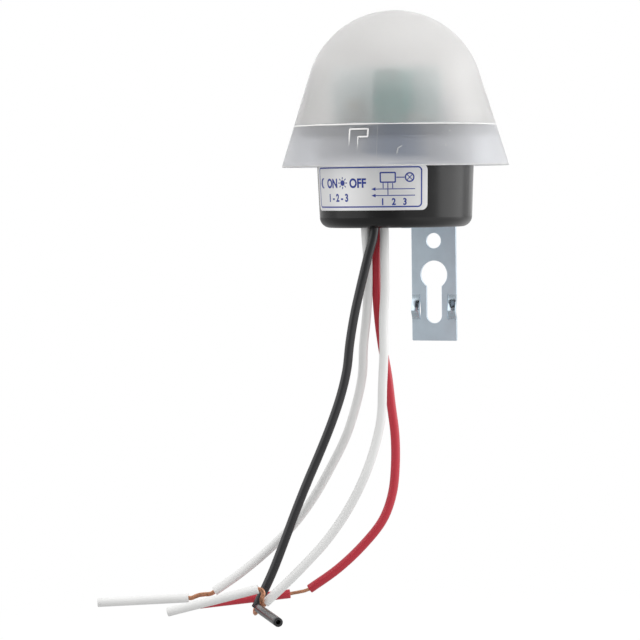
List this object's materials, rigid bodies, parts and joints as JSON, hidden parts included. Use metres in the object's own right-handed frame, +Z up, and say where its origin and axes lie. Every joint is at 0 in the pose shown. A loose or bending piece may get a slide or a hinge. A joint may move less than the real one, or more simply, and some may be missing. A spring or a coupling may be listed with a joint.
{
  "type": "photocell switch",
  "caption": "Dusk-to-dawn light control: frosted bell-shaped cover twisted onto a black base cup, on a zinc-plated strip bracket with a keyhole, with stranded leads hanging below.",
  "frame": {"origin": "centre of the bracket's round screw hole, on the bracket face that lies against the wall", "axes": "+Y along the screw hole into the wall, +Z up towards the dome's crown, +X to the right seen from the front"},
  "size_m": [0.1175, 0.0882, 0.1794],
  "materials": {
    "frosted_plastic": "moulded, frosted and translucent",
    "black_plastic": "moulded, satin",
    "label_foil": "satin foil",
    "zinc_plated_steel": "rolled and zinc plated",
    "rivet_steel": "plated",
    "board_laminate": "solder mask",
    "relay_case": "moulded",
    "green_resin": "dipped resin",
    "capacitor_sleeve": "shrink sleeve",
    "sensor_ceramic": "lacquered",
    "black_resin": "moulded resin",
    "diode_glass": "clear",
    "resistor_lacquer": "lacquered",
    "tinned_copper": "tinned",
    "black_sleeve": "extruded, satin",
    "red_sleeve": "extruded, satin",
    "white_sleeve": "extruded, satin",
    "stranded_copper": "drawn strands"
  },
  "bodies": {
    "housing": {"base_housing": "black_plastic", "rating_label": "label_foil", "wall_bracket": "zinc_plated_steel", "bracket_rivet": "rivet_steel", "rivet_washer": "rivet_steel", "circuit_board": "board_laminate", "relay": "relay_case", "film_capacitor": "green_resin", "electrolytic_capacitor": "capacitor_sleeve", "photoresistor": "sensor_ceramic", "rectifier_diodes": "black_resin", "zener_diode": "diode_glass", "transistor": "black_resin", "resistors": "resistor_lacquer", "lead_tails": "tinned_copper", "black_lead": "black_sleeve", "red_lead": "red_sleeve", "left_white_lead": "white_sleeve", "right_white_lead": "white_sleeve", "black_core": "stranded_copper", "red_core": "stranded_copper", "left_white_core": "stranded_copper", "right_white_core": "stranded_copper", "black_end_sleeve": "black_sleeve", "red_end_sleeve": "red_sleeve", "left_white_end_sleeve": "white_sleeve", "right_white_end_sleeve": "white_sleeve"},
    "dome": {"dome_cover": "frosted_plastic"}
  },
  "joints": [
    {"name": "dome_twist", "type": "hinge", "parent": "housing", "child": "dome", "pos_m": [0, -0.0346, 0.0229], "axis": [0, 0, 1], "range_deg": [0, 6]}
  ]
}
